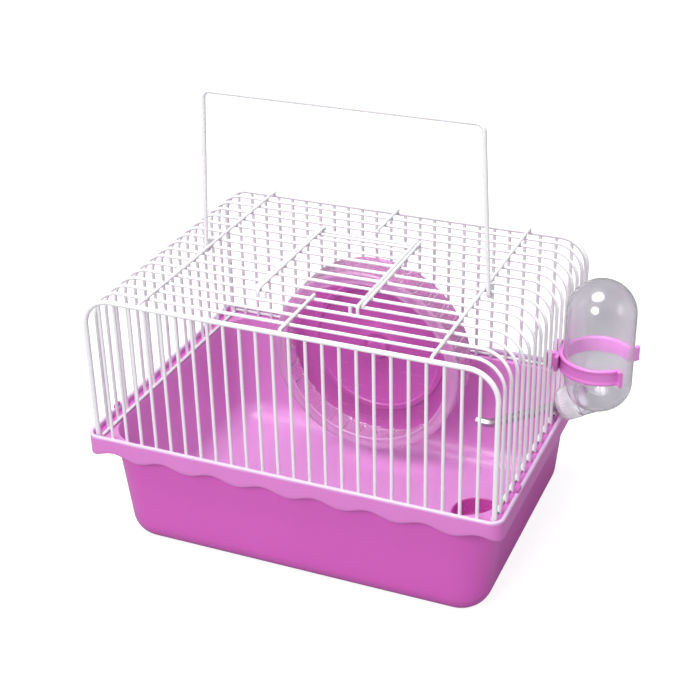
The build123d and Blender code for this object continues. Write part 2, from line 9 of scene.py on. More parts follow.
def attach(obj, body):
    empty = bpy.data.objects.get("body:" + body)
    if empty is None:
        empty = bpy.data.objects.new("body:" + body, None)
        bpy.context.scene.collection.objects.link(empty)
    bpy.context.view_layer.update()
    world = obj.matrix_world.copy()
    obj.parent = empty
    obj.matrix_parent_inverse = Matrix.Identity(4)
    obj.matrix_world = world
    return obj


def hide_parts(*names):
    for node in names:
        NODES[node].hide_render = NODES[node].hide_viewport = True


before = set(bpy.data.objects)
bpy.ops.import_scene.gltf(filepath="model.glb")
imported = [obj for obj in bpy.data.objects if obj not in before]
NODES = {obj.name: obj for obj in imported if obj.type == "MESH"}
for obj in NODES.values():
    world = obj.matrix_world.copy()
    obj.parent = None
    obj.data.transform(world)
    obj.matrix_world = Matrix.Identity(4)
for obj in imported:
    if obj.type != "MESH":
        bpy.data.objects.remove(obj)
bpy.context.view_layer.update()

bl_info = {
    "name": "Hamster Cage",
    "version": (1, 0, 0),
    "blender": (4, 5, 0),
    "location": "3D View > Sidebar > Cage",
    "description": "Makes and dresses a small hamster cage with its wheel, bottle and bowl",
    "category": "Object",
}

MM = 0.001
WIRE_NODES = (
    "front_arch", "rear_arch", "front_roof_arches", "rear_roof_arches", "left_cut_arches",
    "right_cut_arches", "front_bars", "rear_bars", "front_base_wire", "rear_base_wire",
    "left_base_wire", "right_base_wire", "left_roof_rail", "right_roof_rail",
    "front_centre_wire", "rear_centre_wire", "left_opening_rail", "right_opening_rail",
    "door_side_wires", "door_cross_wires", "carry_handle",
)
STEEL_NODES = ("wheel_axle", "axle_washer", "spout_tube", "spout_ball")

# Sizes that several pieces share, in metres.
LEDGE_Z = 76.6 * MM         # the tray's ledge that carries the wire top
ARCH_PITCH = 11.2 * MM
HALF_WIDTH = 125.0 * MM     # middle of the side legs
HALF_DEPTH = 89.6 * MM      # middle of the front and rear bars
ROOF_TOP = 171.7 * MM
AXLE_Z = 90.5 * MM
BOTTLE_X = 150.0 * MM
BOTTLE_Y = 28.0 * MM
TILT = math.radians(28.0)   # of the cap and the spout, below level


# --- mesh helpers -----------------------------------------------------------------------
BLOCK_SHARP = 30.0          # degrees past which an edge stays sharp
TURNED_SHARP = 35.0
TRAY_SHARP = 40.0
BAND_SHARP = 50.0
HAIR = 0.999                # keeps a rounded block's corner just open where its edge closes


def grid_faces(rows, columns, loop=False):
    """Quads of a grid whose last column meets its first. With loop the last row meets the first."""
    count = rows if loop else rows - 1
    row, column = np.meshgrid(np.arange(count), np.arange(columns), indexing="ij")
    below = (row + 1) % rows
    after = (column + 1) % columns
    corners = (
        row * columns + column, row * columns + after,
        below * columns + after, below * columns + column,
    )
    return np.stack(corners, axis=-1).reshape(-1, 4)


def end_caps(rows, columns):
    """The first and the last ring of a grid as two faces that close it."""
    first = np.arange(columns)[::-1]
    last = (rows - 1) * columns + np.arange(columns)
    return first.tolist(), last.tolist()


def signed_volume(points, quads):
    """Sum of the tetrahedra from the origin to every quad, which is negative inside out."""
    a, b, c, d = (points[quads[:, i]] for i in range(4))
    first = np.einsum("ij,ij->i", a, np.cross(b, c))
    second = np.einsum("ij,ij->i", a, np.cross(c, d))
    return (first.sum() + second.sum()) / 6


def add_object(name, points, faces):
    """A smooth-shaded mesh object in the scene."""
    mesh = bpy.data.meshes.new(name)
    mesh.from_pydata(points.tolist(), [], faces)
    mesh.polygons.foreach_set("use_smooth", np.ones(len(mesh.polygons), bool))
    piece = bpy.data.objects.new(name, mesh)
    bpy.context.scene.collection.objects.link(piece)
    return piece


def make_piece(name, rings, smooth_angle, loop=False):
    """A mesh object from a grid of rings, turned outwards. The last ring meets the first in a
    loop, and otherwise a cap closes both ends."""
    rows, columns = rings.shape[:2]
    points = rings.reshape(-1, 3)
    quads = grid_faces(rows, columns, loop)
    turned = signed_volume(points - points.mean(0), quads) < 0
    if turned:
        quads = quads[:, ::-1]
    faces = quads.tolist()
    if not loop:
        faces += [cap[::-1] if turned else cap for cap in end_caps(rows, columns)]
    piece = add_object(name, points, faces)
    piece.data.set_sharp_from_angle(angle=math.radians(smooth_angle))
    piece.data.validate()
    return piece


def ring_layout(across, along, corner):
    """Weights of a rounded rectangle's points, for
    x = P * (half_x - r) + Q * r and y = R * (half_y - r) + S * r."""
    parts = []
    side_x = np.linspace(-1, 1, across)
    side_y = np.linspace(-1, 1, along)
    quarter = np.linspace(0, np.pi / 2, corner + 2)[1:-1]
    sides = (
        (side_x, -1, 0, -1), (side_y, 1, 1, 0), (side_x, 1, 0, 1), (side_y, -1, -1, 0),
    )
    for index, (t, fixed, q, s) in enumerate(sides):
        ones = np.ones_like(t)
        run = t if index < 2 else -t
        if index % 2 == 0:
            parts.append(np.stack([run, q * ones, fixed * ones, s * ones]))
        else:
            parts.append(np.stack([fixed * ones, q * ones, run, s * ones]))
        angle = quarter + (index - 1) * np.pi / 2
        ones = np.ones_like(angle)
        corner_x = (1, 1, -1, -1)[index]
        corner_y = (-1, 1, 1, -1)[index]
        parts.append(np.stack([corner_x * ones, np.cos(angle), corner_y * ones, np.sin(angle)]))
    return np.concatenate(parts, axis=1)


def ring_places(layout, half_x, half_y, radius):
    """The x and y of every ring, one row for each profile step."""
    p, q, r, s = layout
    half_x, half_y, radius = (np.asarray(v, float)[:, None] for v in (half_x, half_y, radius))
    return (half_x - radius) * p + radius * q, (half_y - radius) * r + radius * s


def arc(centre_a, centre_b, radius, start, stop, steps):
    """Points centre + radius * (cos t, sin t), with t in degrees from start to stop."""
    t = np.radians(np.linspace(start, stop, steps))
    return np.stack([centre_a + radius * np.cos(t), centre_b + radius * np.sin(t)], axis=1)


def turned_points(profile, origin, axis, side, count, ripple=None):
    """A profile of (radius, distance) turned about an axis:
    p = origin + distance * axis + (radius + ripple) * (cos t * side + sin t * (axis x side))."""
    axis, side = np.asarray(axis, float), np.asarray(side, float)
    other = np.cross(axis, side)
    t = np.linspace(0, 2 * np.pi, count, endpoint=False)
    radius = np.repeat(profile[:, :1], count, axis=1)
    if ripple is not None:
        radius = radius + ripple(t[None, :], profile[:, :1], profile[:, 1:])
    ring = np.cos(t)[:, None] * side + np.sin(t)[:, None] * other
    middle = np.asarray(origin) + profile[:, 1:] * axis
    return middle[:, None, :] + radius[:, :, None] * ring[None, :, :]


def turned_piece(name, profile, place, count, ripple=None, loop=True):
    """A piece turned about a place's axis: place is (origin, axis, side)."""
    return make_piece(name, turned_points(profile, *place, count, ripple), TURNED_SHARP, loop)


def rounded_block(name, low, high, radius):
    """A block of stacked rounded rectangles with its upper and lower edges rounded:
    inset = r * (1 - sin t) and rise = r * (1 - cos t)."""
    low, high = np.array(low, float), np.array(high, float)
    middle, half = (low + high) / 2, (high - low) / 2
    t = np.linspace(0, np.pi / 2, 6)
    inset = np.concatenate([radius * (1 - np.sin(t)), radius * (1 - np.sin(t[::-1]))])
    rise = radius * (1 - np.cos(t))
    z = np.concatenate([low[2] + rise, high[2] - rise[::-1]])
    layout = ring_layout(4, 4, 5)
    x, y = ring_places(layout, half[0] - inset, half[1] - inset, radius - inset * HAIR)
    height = np.repeat(z[:, None], x.shape[1], 1)
    points = np.stack([middle[0] + x, middle[1] + y, height], axis=-1)
    return make_piece(name, points, BLOCK_SHARP)


def beads(name, centres, radii):
    """One small ellipsoid at every centre: p = c + r * (cos u cos v, cos u sin v, sin u)."""
    u = np.radians([-50.0, -18.0, 18.0, 50.0])
    v = np.linspace(0, 2 * np.pi, 8, endpoint=False)
    rows, columns = u.size, v.size
    belt = np.stack([
        np.cos(u)[:, None] * np.cos(v), np.cos(u)[:, None] * np.sin(v),
        np.repeat(np.sin(u)[:, None], columns, axis=1)], axis=-1).reshape(-1, 3)
    shape = belt * np.asarray(radii, float)
    centres = np.asarray(centres, float)
    points = centres[:, None, :] + shape[None, :, :]
    shift = (np.arange(len(centres)) * rows * columns)[:, None, None]
    faces = (grid_faces(rows, columns)[None] + shift).reshape(-1, 4).tolist()
    for cap in end_caps(rows, columns):
        faces += (np.array(cap)[None] + shift[:, 0]).tolist()
    return add_object(name, points.reshape(-1, 3), faces)


def finish_piece(piece, body, slot, material, *nodes):
    """Dresses a piece, hangs it on its body and lets it stand for CAD nodes."""
    piece.data.materials.append(material)
    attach(piece, body)
    if nodes:
        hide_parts(*nodes)
    return piece


# --- node helpers -----------------------------------------------------------------------
def new_node(tree, kind, **values):
    """A node with its properties and its sockets' values set by name."""
    node = tree.nodes.new(kind)
    for key, value in values.items():
        if hasattr(node, key):
            setattr(node, key, value)
        else:
            node.inputs[key.replace("_", " ")].default_value = value
    return node


def math_node(tree, operation, first, second):
    """The result of a math node on two sockets or numbers."""
    node = tree.nodes.new("ShaderNodeMath")
    node.operation = operation
    for socket, value in zip(node.inputs, (first, second)):
        if isinstance(value, (int, float)):
            socket.default_value = value
        else:
            tree.links.new(value, socket)
    return node.outputs[0]


def add_socket(group, name, kind, way, default=None):
    """Gives a node group an input or an output."""
    socket = group.interface.new_socket(name=name, in_out=way, socket_type=kind)
    if default is not None:
        socket.default_value = default
    return socket


def plastic_group():
    """Moulded plastic: cloudy colour, faint streaks of flow, fine scuffs and a soft grain."""
    name = "Moulded Surface"
    if name in bpy.data.node_groups:
        return bpy.data.node_groups[name]
    group = bpy.data.node_groups.new(name, "ShaderNodeTree")
    add_socket(group, "Colour", "NodeSocketColor", "INPUT", (0.8, 0.8, 0.8, 1))
    add_socket(group, "Shade", "NodeSocketColor", "INPUT", (0.6, 0.6, 0.6, 1))
    add_socket(group, "Cloud", "NodeSocketFloat", "INPUT", 0.3)
    add_socket(group, "Rough", "NodeSocketFloat", "INPUT", 0.3)
    add_socket(group, "Rough Spread", "NodeSocketFloat", "INPUT", 0.1)
    add_socket(group, "Scale", "NodeSocketFloat", "INPUT", 1.0)
    add_socket(group, "Colour", "NodeSocketColor", "OUTPUT")
    add_socket(group, "Roughness", "NodeSocketFloat", "OUTPUT")
    add_socket(group, "Height", "NodeSocketFloat", "OUTPUT")
    inside = group.nodes.new("NodeGroupInput")
    outside = group.nodes.new("NodeGroupOutput")
    link = group.links.new
    coords = group.nodes.new("ShaderNodeTexCoord")
    scaled = new_node(group, "ShaderNodeVectorMath", operation="SCALE")
    link(coords.outputs["Object"], scaled.inputs[0])
    link(inside.outputs["Scale"], scaled.inputs["Scale"])
    place = scaled.outputs[0]
    cloud = new_node(group, "ShaderNodeTexNoise", Scale=14.0, Detail=3.0, Roughness=0.5)
    grain = new_node(group, "ShaderNodeTexNoise", Scale=2600.0, Detail=2.0, Roughness=0.6)
    swell = new_node(group, "ShaderNodeTexNoise", Scale=45.0, Detail=1.0, Roughness=0.4)
    for texture in (cloud, grain, swell):
        link(place, texture.inputs["Vector"])
    stretch = new_node(
        group, "ShaderNodeMapping", Scale=(40.0, 900.0, 260.0), Rotation=(0.4, 0.3, 0.5))
    link(place, stretch.inputs["Vector"])
    scuff = new_node(group, "ShaderNodeTexNoise", Scale=1.0, Detail=4.0, Roughness=0.7)
    link(stretch.outputs[0], scuff.inputs["Vector"])
    scuff_mask = new_node(
        group, "ShaderNodeMapRange", From_Min=0.58, From_Max=0.74, To_Min=0.0, To_Max=1.0)
    link(scuff.outputs["Fac"], scuff_mask.inputs["Value"])
    amount = math_node(group, "MULTIPLY", cloud.outputs["Fac"], inside.outputs["Cloud"])
    mix = new_node(group, "ShaderNodeMix", data_type="RGBA")
    link(amount, mix.inputs["Factor"])
    link(inside.outputs["Colour"], mix.inputs["A"])
    link(inside.outputs["Shade"], mix.inputs["B"])
    link(mix.outputs["Result"], outside.inputs["Colour"])
    spread = math_node(group, "MULTIPLY", scuff_mask.outputs[0], inside.outputs["Rough Spread"])
    patches = math_node(group, "MULTIPLY", cloud.outputs["Fac"], inside.outputs["Rough Spread"])
    scuffed = math_node(group, "ADD", inside.outputs["Rough"], spread)
    total = math_node(group, "ADD", scuffed, patches)
    link(total, outside.inputs["Roughness"])
    fine = math_node(group, "MULTIPLY", grain.outputs["Fac"], 0.06)
    marks = math_node(group, "MULTIPLY", scuff_mask.outputs[0], -0.08)
    height = math_node(group, "ADD", math_node(group, "ADD", fine, marks), swell.outputs["Fac"])
    link(height, outside.inputs["Height"])
    return group


def shader_material(name, colour, shade, rough, spread, cloud, bump=0.05, scale=1.0, **sockets):
    """A Principled material whose colour, roughness and bump come from the plastic group."""
    material = bpy.data.materials.new(name)
    material.use_nodes = True
    tree = material.node_tree
    shader = tree.nodes["Principled BSDF"]
    surface = new_node(
        tree, "ShaderNodeGroup", node_tree=plastic_group(), Colour=(*colour, 1),
        Shade=(*shade, 1), Cloud=cloud, Rough=rough, Rough_Spread=spread, Scale=scale)
    tree.links.new(surface.outputs["Colour"], shader.inputs["Base Color"])
    tree.links.new(surface.outputs["Roughness"], shader.inputs["Roughness"])
    relief = new_node(tree, "ShaderNodeBump", Strength=bump, Distance=0.0006)
    tree.links.new(surface.outputs["Height"], relief.inputs["Height"])
    tree.links.new(relief.outputs["Normal"], shader.inputs["Normal"])
    for key, value in sockets.items():
        shader.inputs[key.replace("_", " ")].default_value = value
    return material


def add_painted_light(material, pale):
    """Paints light on the plastic: mixes a paler colour over its own by the mesh's painted light
    value.
    """
    tree = material.node_tree
    shader = tree.nodes["Principled BSDF"]
    own = shader.inputs["Base Color"].links[0].from_socket
    # the mesh's painted light: glare inside the tub and a highlight on the border's top edge
    painted_light = new_node(tree, "ShaderNodeAttribute", attribute_name="painted_light")
    mix = new_node(tree, "ShaderNodeMix", data_type="RGBA")
    tree.links.new(painted_light.outputs["Fac"], mix.inputs["Factor"])
    tree.links.new(own, mix.inputs["A"])
    mix.inputs["B"].default_value = (*pale, 1)
    tree.links.new(mix.outputs["Result"], shader.inputs["Base Color"])


def dress(material, *nodes):
    """Gives CAD nodes a material in place of their plain one."""
    for node in nodes:
        slots = NODES[node].material_slots
        if not slots:
            NODES[node].data.materials.append(material)
        for place in slots:
            place.material = material


# --- settings ---------------------------------------------------------------------------
class CageColours(bpy.types.PropertyGroup):
    """Colours of the cage's materials"""

    tray: FloatVectorProperty(
        name="Tray", description="Pink of the tray and the holder", subtype="COLOR",
        size=3, min=0, max=1, default=(0.700, 0.116, 0.560))
    tray_shade: FloatVectorProperty(
        name="Tray Shade", description="Deeper pink in the tray's clouds", subtype="COLOR",
        size=3, min=0, max=1, default=(0.620, 0.090, 0.490))
    # Paler colour painted on the tray as light: glare inside the tub, a highlight on the border's
    # top edge and a lit skirt.
    painted_light_colour: FloatVectorProperty(
        name="Tray Painted Light", description="Pale haze inside the tub and on its border",
        subtype="COLOR", size=3, min=0, max=1, default=(0.690, 0.620, 0.800))
    holder: FloatVectorProperty(
        name="Holder", description="Pink of the bottle's holder", subtype="COLOR",
        size=3, min=0, max=1, default=(0.700, 0.205, 0.610))
    wheel: FloatVectorProperty(
        name="Wheel Back", description="Deep pink of the wheel's back disc", subtype="COLOR",
        size=3, min=0, max=1, default=(0.560, 0.120, 0.460))
    drum: FloatVectorProperty(
        name="Wheel Drum", description="See-through pink of the wheel's drum", subtype="COLOR",
        size=3, min=0, max=1, default=(0.860, 0.600, 0.810))
    bowl: FloatVectorProperty(
        name="Bowl", description="Hot pink of the food bowl", subtype="COLOR",
        size=3, min=0, max=1, default=(0.560, 0.080, 0.390))
    enamel: FloatVectorProperty(
        name="Enamel", description="White of the wires", subtype="COLOR",
        size=3, min=0, max=1, default=(0.820, 0.820, 0.835))
    bottle: FloatVectorProperty(
        name="Bottle", description="Tint of the clear bottle", subtype="COLOR",
        size=3, min=0, max=1, default=(0.940, 0.930, 0.960))


class CageSizes(bpy.types.PropertyGroup):
    """Size of the welds, and how the camera stands"""

    weld_radius: FloatProperty(
        name="Weld", description="Radius of a weld between two wires", subtype="DISTANCE",
        unit="LENGTH", default=1.05 * MM)
    camera_azimuth: FloatProperty(
        name="Camera Azimuth", description="Camera's turn round the cage", subtype="ANGLE",
        default=math.radians(23.33))
    camera_elevation: FloatProperty(
        name="Camera Elevation", description="Camera's height as an angle", subtype="ANGLE",
        default=math.radians(28.33))
    camera_roll: FloatProperty(
        name="Camera Roll", description="Camera's turn about its own axis", subtype="ANGLE",
        default=math.radians(-1.18))
    camera_distance: FloatProperty(
        name="Camera Distance", description="From the aim to the camera",
        subtype="DISTANCE", unit="LENGTH", default=0.9031)
    camera_lens: FloatProperty(
        name="Camera Lens", description="Focal length in millimetres", default=74.42)


# --- stage ------------------------------------------------------------------------------
FLOOR_HALF = 6.0
AIM_RIGHT = 1.98 * MM       # camera's slide along its own right and up
AIM_UP = 31.77 * MM
AIM_HEIGHT = 79.0 * MM
SEEN_THROUGH = (0.60, 0.59, 0.62, 1)
LAMP_TARGET = (0, 0, 0.08)
LAMPS = (                   # name, place, size in metres, watts, mirrored in glossy surfaces
    ("key", (-0.18, -1.35, 0.98), 0.75, 15.0, True),
    ("top", (-0.15, -0.25, 1.5), 0.9, 20.5, True),
    ("left", (-1.35, -0.3, 0.9), 0.7, 3.0, False),
    ("right", (1.5, -0.1, 0.7), 0.7, 4.2, False),
)


def make_camera(sizes):
    """The camera looks along its back vector at the middle of the rim, slid a little aside."""
    a, e, roll = sizes.camera_azimuth, sizes.camera_elevation, sizes.camera_roll
    back = Vector((math.sin(a) * math.cos(e), -math.cos(a) * math.cos(e), math.sin(e)))
    level = Vector((math.cos(a), math.sin(a), 0))
    upright = back.cross(level)
    right = level * math.cos(roll) + upright * math.sin(roll)
    up = upright * math.cos(roll) - level * math.sin(roll)
    data = bpy.data.cameras.new("cage_camera")
    camera = bpy.data.objects.new("cage_camera", data)
    bpy.context.scene.collection.objects.link(camera)
    place = right * AIM_RIGHT + up * AIM_UP + back * sizes.camera_distance
    place.z += AIM_HEIGHT
    turn = Matrix((right, up, back)).transposed().to_4x4()
    camera.matrix_world = Matrix.Translation(place) @ turn
    data.lens = sizes.camera_lens
    data.sensor_width = 36
    data.clip_start = 0.01
    bpy.context.scene.camera = camera


def area_light(name, place, size, watts, mirrored):
    """A soft round lamp that faces the cage; a fill lamp isn't mirrored in glossy surfaces."""
    data = bpy.data.lights.new(name, "AREA")
    data.shape = "ELLIPSE"
    data.size = size
    data.size_y = size
    data.energy = watts
    lamp = bpy.data.objects.new(name, data)
    bpy.context.scene.collection.objects.link(lamp)
    lamp.visible_glossy = mirrored
    lamp.location = place
    lamp.rotation_mode = "QUATERNION"
    lamp.rotation_quaternion = (Vector(LAMP_TARGET) - Vector(place)).to_track_quat("-Z", "Y")


def ray_mix(tree, ray, rest, own):
    """A mix that gives one kind of ray its own shader and the others the rest."""
    path = tree.nodes.new("ShaderNodeLightPath")
    mix = tree.nodes.new("ShaderNodeMixShader")
    tree.links.new(path.outputs[ray], mix.inputs["Fac"])
    tree.links.new(rest.outputs[0], mix.inputs[1])
    tree.links.new(own.outputs[0], mix.inputs[2])
    return mix


def floor_material():
    """A pale matte floor: paper with the cage's soft shadow for the camera, grey seen through
    glass, and plain paper for all other light."""
    material = bpy.data.materials.new("pale_floor")
    material.use_nodes = True
    tree = material.node_tree
    tree.nodes.clear()
    link = tree.links.new
    paper = new_node(tree, "ShaderNodeBsdfDiffuse", Color=(0.34, 0.34, 0.345, 1))
    glow = new_node(tree, "ShaderNodeEmission", Color=(1, 1, 1, 1), Strength=0.84)
    grey = new_node(tree, "ShaderNodeEmission", Color=SEEN_THROUGH)
    coords = tree.nodes.new("ShaderNodeTexCoord")
    cloud = new_node(tree, "ShaderNodeTexNoise", Scale=9.0, Detail=2.0)
    level = new_node(
        tree, "ShaderNodeMapRange", From_Min=0.38, From_Max=0.62, To_Min=0.72, To_Max=1.3)
    link(coords.outputs["Object"], cloud.inputs["Vector"])
    link(cloud.outputs["Fac"], level.inputs["Value"])
    link(level.outputs[0], grey.inputs["Strength"])
    both = tree.nodes.new("ShaderNodeAddShader")
    link(paper.outputs[0], both.inputs[0])
    link(glow.outputs[0], both.inputs[1])
    for_camera = ray_mix(tree, "Is Camera Ray", paper, both)
    for_glass = ray_mix(tree, "Is Transmission Ray", for_camera, grey)
    out = tree.nodes.new("ShaderNodeOutputMaterial")
    link(for_glass.outputs[0], out.inputs["Surface"])
    return material


def make_world():
    """Even studio light: plain white for the camera, grey seen through glass."""
    world = bpy.data.worlds.new("studio")
    bpy.context.scene.world = world
    world.use_nodes = True
    tree = world.node_tree
    tree.nodes.clear()
    ambient = new_node(tree, "ShaderNodeBackground", Color=(0.97, 0.98, 1.0, 1), Strength=0.35)
    white = new_node(tree, "ShaderNodeBackground", Color=(1, 1, 1, 1), Strength=1.0)
    grey = new_node(tree, "ShaderNodeBackground", Color=SEEN_THROUGH, Strength=1.0)
    for_camera = ray_mix(tree, "Is Camera Ray", ambient, white)
    for_glass = ray_mix(tree, "Is Transmission Ray", for_camera, grey)
    out = tree.nodes.new("ShaderNodeOutputWorld")
    tree.links.new(for_glass.outputs[0], out.inputs["Surface"])


class CAGE_OT_stage(bpy.types.Operator):
    """Makes the floor, the lights, the world and the camera"""

    bl_idname = "cage.stage"
    bl_label = "Stage"

    def execute(self, context):
        corners = np.array([(-1, -1, 0), (1, -1, 0), (1, 1, 0), (-1, 1, 0)], float) * FLOOR_HALF
        mesh = bpy.data.meshes.new("floor")
        mesh.from_pydata(corners.tolist(), [], [(0, 1, 2, 3)])
        floor = bpy.data.objects.new("floor", mesh)
        context.scene.collection.objects.link(floor)
        mesh.materials.append(floor_material())
        make_world()
        for lamp in LAMPS:
            area_light(*lamp)
        make_camera(context.scene.cage_sizes)
        context.scene.view_settings.view_transform = "Standard"
        return {"FINISHED"}


# --- wires ------------------------------------------------------------------------------
BASE_WIRE_Z = 77.9 * MM
RAIL_X = 87.8 * MM
DOOR_X = -2.0 * MM
DOOR_HALF = 31.0 * MM
OPENING_HALF = 34.0 * MM
BAR_PITCH = 10.0 * MM
BAR_GAPS = 25
LAST_ARCH = 16
DOOR_ARCHES = (5, 11)       # the arches in line with the door's cross wires
STUB_ENDS = (4, 13)         # where the centre wire's two stubs end
DOOR_FRONT_Y = 39.8 * MM
WIRE_TOUCH = 1.0 * MM       # from an upright's middle to the foot wire's touching side
DOOR_WELD_Z = ROOF_TOP + 0.3 * MM


def crossings(xs, ys, z):
    """Every pairing of the given places along x and y, at one height."""
    x, y = np.meshgrid(xs, ys)
    return np.stack([x.ravel(), y.ravel(), np.full(x.size, z)], axis=1)


def arch_places(first, last):
    """y = -half_depth + pitch * i for the arches from first to last."""
    return -HALF_DEPTH + ARCH_PITCH * np.arange(first, last + 1)


def fixed_welds():
    """Where the wire top's wires touch: foot wires, roof rails, centre wires, opening rails."""
    bars = -HALF_WIDTH + BAR_PITCH * np.arange(1, BAR_GAPS)
    out_y = HALF_DEPTH + WIRE_TOUCH
    in_x = HALF_WIDTH - WIRE_TOUCH
    opening = (DOOR_X - OPENING_HALF, DOOR_X + OPENING_HALF)
    stubs = np.append(arch_places(0, STUB_ENDS[0]), arch_places(STUB_ENDS[1], LAST_ARCH))
    return np.concatenate([
        crossings(bars, (-out_y, out_y), BASE_WIRE_Z),
        crossings((-in_x, in_x), arch_places(1, LAST_ARCH - 1), BASE_WIRE_Z),
        crossings((-RAIL_X, RAIL_X), arch_places(0, LAST_ARCH), ROOF_TOP),
        crossings((0.0,), stubs, ROOF_TOP),
        crossings(opening, arch_places(*DOOR_ARCHES), ROOF_TOP),
    ])


def door_welds():
    """Where the door's cross wires touch its side wires."""
    places = np.append(arch_places(*DOOR_ARCHES), DOOR_FRONT_Y)
    return crossings((DOOR_X - DOOR_HALF, DOOR_X + DOOR_HALF), places, DOOR_WELD_Z)


class CAGE_OT_wires(bpy.types.Operator):
    """Gives the wires their white enamel and makes the welds between them"""

    bl_idname = "cage.wires"
    bl_label = "Wires"

    def execute(self, context):
        colour = tuple(context.scene.cage_colours.enamel)
        shade = tuple(v * 0.93 for v in colour)
        enamel = shader_material(
            "white_enamel", colour, shade, rough=0.22, spread=0.1, cloud=0.8, bump=0.12,
            scale=2.0, Coat_Weight=0.35, Coat_Roughness=0.08)
        dress(enamel, *WIRE_NODES)
        weld = context.scene.cage_sizes.weld_radius
        flat = (weld, weld, 0.6 * weld)
        finish_piece(beads("wire_welds", fixed_welds(), flat), "wire_top", "white_wire", enamel)
        finish_piece(beads("door_welds", door_welds(), flat), "roof_door", "white_wire", enamel)
        return {"FINISHED"}


# --- tray -------------------------------------------------------------------------------
TRAY_WALL = 2.2 * MM
BORDER_TOP = 81.0 * MM
BORDER_X = 130.6 * MM
BORDER_Y = 95.8 * MM
BORDER_CORNER = 8.0 * MM
BORDER_ROUND = 0.95 * MM
TUB_X = 124.0 * MM
TUB_Y = 90.6 * MM
TUB_CORNER = 25.5 * MM
TUB_SLOPE = math.tan(math.radians(5.6))
TUB_EDGE = 17.0 * MM
LEDGE_ROUND = 1.1 * MM
TIGHTEST = 1.5 * MM         # corner radius
SKIRT_DEPTH = 12.4 * MM
SIDE_SKIRT_DEPTH = 14.0 * MM
WAVE_PITCH = 33.0 * MM
WAVE_RISE = 1.8 * MM
WAVE_SHIFT = 3.0 * MM

# How much painted light shows, from 0 to 1: a paler lit skirt and border, less of it on their level
# sides, a painted highlight on the border's top edge and painted glare on the tub's inside walls
# and floor. The tub's outside has none.
SKIRT_PAINTED_LIGHT = 0.19
SIDE_LIGHT_SHARE = 0.25           # of the skirt's painted light, along its level sides where less light falls
WALL_PAINTED_GLARE = 0.25
FLOOR_PAINTED_GLARE = 0.38
# painted highlight along the border's top edge, in a band this deep
EDGE_PAINTED_HIGHLIGHT = 0.75
HIGHLIGHT_BAND = 1.2 * MM


def tub_profile(inset, top_z):
    """Insets and heights from a height down to the floor: a sloped wall, then a quarter round."""
    edge = TUB_EDGE - inset
    lean = math.atan(TUB_SLOPE)
    touch_z = inset + edge - edge * math.sin(lean)
    wall_z = np.linspace(top_z, touch_z, 10)
    wall_in = inset + (LEDGE_Z - wall_z) * TUB_SLOPE
    centre = wall_in[-1] + edge * math.cos(lean)
    angle = np.linspace(lean, math.pi / 2, 14)[1:]
    round_in = centre - edge * np.cos(angle)
    round_z = inset + edge - edge * np.sin(angle)
    return np.append(wall_in, round_in), np.append(wall_z, round_z)


def corner_way(y):
    """The way round a corner, from 0 along the sides to 1 in front and behind."""
    return np.clip((np.abs(y) - (BORDER_Y - BORDER_CORNER)) / BORDER_CORNER, 0, 1)


def lower_edge(x, y):
    """The skirt's lower edge: middle - rise * cos(2 pi (x - shift) / pitch) along the front and
    rear, blended round the corners by s = 3u^2 - 2u^3 into the level edge of the sides."""
    wave = BORDER_TOP - SKIRT_DEPTH - WAVE_RISE * np.cos(2 * np.pi * (x - WAVE_SHIFT) / WAVE_PITCH)
    side = BORDER_TOP - SIDE_SKIRT_DEPTH
    u = corner_way(y)
    s = 3 * u ** 2 - 2 * u ** 3
    return side + (wave - side) * s


def tray_rows():
    """Rows of (in from the tub's side, in from the border's side, which, height, drop, lift):
    the profile from the underside, up the tub, round the skirt and border, and down inside."""
    rows = []
    outer_in, outer_z = tub_profile(0.0, LEDGE_Z - TRAY_WALL - LEDGE_ROUND)
    rows += [(i, 0, 0, z, 0, 0) for i, z in zip(outer_in[::-1], outer_z[::-1])]
    under = LEDGE_Z - TRAY_WALL
    # From the tub's top out under the border, and down the skirt's inside.
    fillet = arc(LEDGE_ROUND, -LEDGE_ROUND, LEDGE_ROUND, 180, 90, 5)[1:]
    rows += [(0.1 * MM - a, 0, 0, under + b, 0, 0) for a, b in fillet]
    rows += [(0, TRAY_WALL + 0.8 * MM, 1, under, 0, 0)]
    rows += [(0, TRAY_WALL, 1, under - 0.6 * MM, 0, 0)]
    half = TRAY_WALL / 2
    rows += [(0, TRAY_WALL, 1, under, f, half) for f in (0.35, 0.7)]
    # Round the skirt's lower edge, up its outside and over the border's top.
    rows += [(0, half + a, 1, under, 1, half + b) for a, b in arc(0, 0, half, 0, -180, 9)]
    rise = np.array([0.8, 0.55, 0.3, 0.12])
    top = BORDER_TOP - BORDER_ROUND
    rows += [(0, 0, 1, top, f, half) for f in rise]
    over = arc(BORDER_ROUND, 0, BORDER_ROUND, 180, 90, 7)
    rows += [(0, a, 1, top + b, 0, 0) for a, b in over]
    over = arc(TRAY_WALL - BORDER_ROUND, 0, BORDER_ROUND, 90, 0, 7)
    rows += [(0, a, 1, top + b, 0, 0) for a, b in over]
    # Down the border's inside, along the ledge and down the tub's inside.
    inner = arc(TRAY_WALL + LEDGE_ROUND, LEDGE_ROUND, LEDGE_ROUND, 180, 270, 6)
    rows += [(0, a, 1, LEDGE_Z + b, 0, 0) for a, b in inner]
    edge = arc(TRAY_WALL - LEDGE_ROUND, -LEDGE_ROUND, LEDGE_ROUND, 90, 10, 6)
    rows += [(a, 0, 0, LEDGE_Z + b, 0, 0) for a, b in edge]
    inner_in, inner_z = tub_profile(TRAY_WALL, LEDGE_Z - LEDGE_ROUND)
    rows += [(i, 0, 0, z, 0, 0) for i, z in zip(inner_in[1:], inner_z[1:])]
    return np.array(rows, float)


